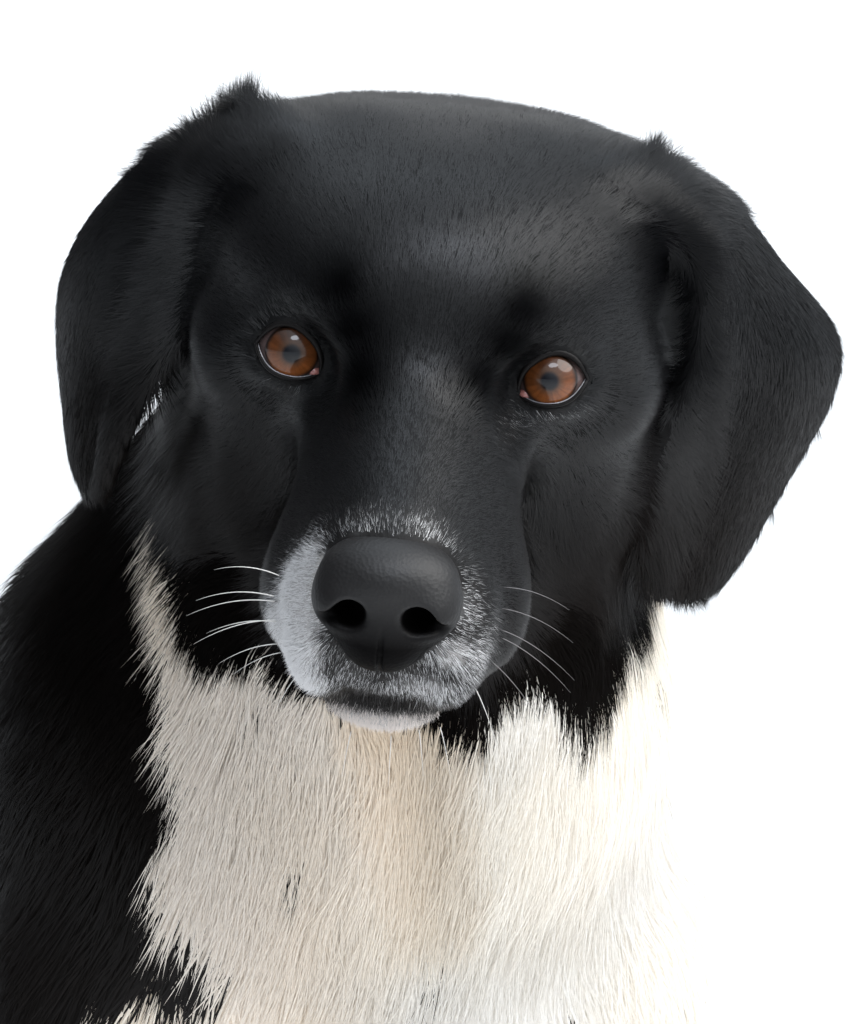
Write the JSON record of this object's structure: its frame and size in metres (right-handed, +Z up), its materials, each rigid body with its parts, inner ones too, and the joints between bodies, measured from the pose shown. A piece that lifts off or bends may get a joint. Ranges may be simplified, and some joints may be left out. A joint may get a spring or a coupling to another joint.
{
  "type": "sitting dog",
  "caption": "Life-size sitting dog with drop ears and a turned head, in a black coat with white neck, chest and feet.",
  "frame": {"origin": "centre of the bounding box, at the height of the floor that the dog sits on", "axes": "+Z up, -Y the way the dog's body faces, +X to the dog's left"},
  "size_m": [0.3346, 0.855, 0.7133],
  "materials": {
    "black_coat": "short glossy black fur, longer and softer on the neck and body",
    "white_coat": "soft dense off-white fur with small dark spots",
    "nose_leather": "moist pebbled black skin",
    "eye": "wet amber-brown iris with a dark rim under a clear cornea",
    "claw": "smooth dark horn"
  },
  "bodies": {
    "root": {"head": "black_coat", "ear_left": "black_coat", "ear_right": "black_coat", "hindquarters": "black_coat", "thigh_left": "black_coat", "thigh_right": "black_coat", "tail": "black_coat", "neck": "white_coat", "chest": "white_coat", "forearm_left": "white_coat", "forearm_right": "white_coat", "forepaw_left": "white_coat", "forepaw_right": "white_coat", "hind_foot_left": "white_coat", "hind_foot_right": "white_coat", "nose": "nose_leather", "eye_left": "eye", "eye_right": "eye", "claw_forepaw_left_1": "claw", "claw_forepaw_left_2": "claw", "claw_forepaw_left_3": "claw", "claw_forepaw_left_4": "claw", "claw_forepaw_right_1": "claw", "claw_forepaw_right_2": "claw", "claw_forepaw_right_3": "claw", "claw_forepaw_right_4": "claw", "claw_hind_foot_left_1": "claw", "claw_hind_foot_left_2": "claw", "claw_hind_foot_left_3": "claw", "claw_hind_foot_left_4": "claw", "claw_hind_foot_right_1": "claw", "claw_hind_foot_right_2": "claw", "claw_hind_foot_right_3": "claw", "claw_hind_foot_right_4": "claw"}
  },
  "joints": []
}
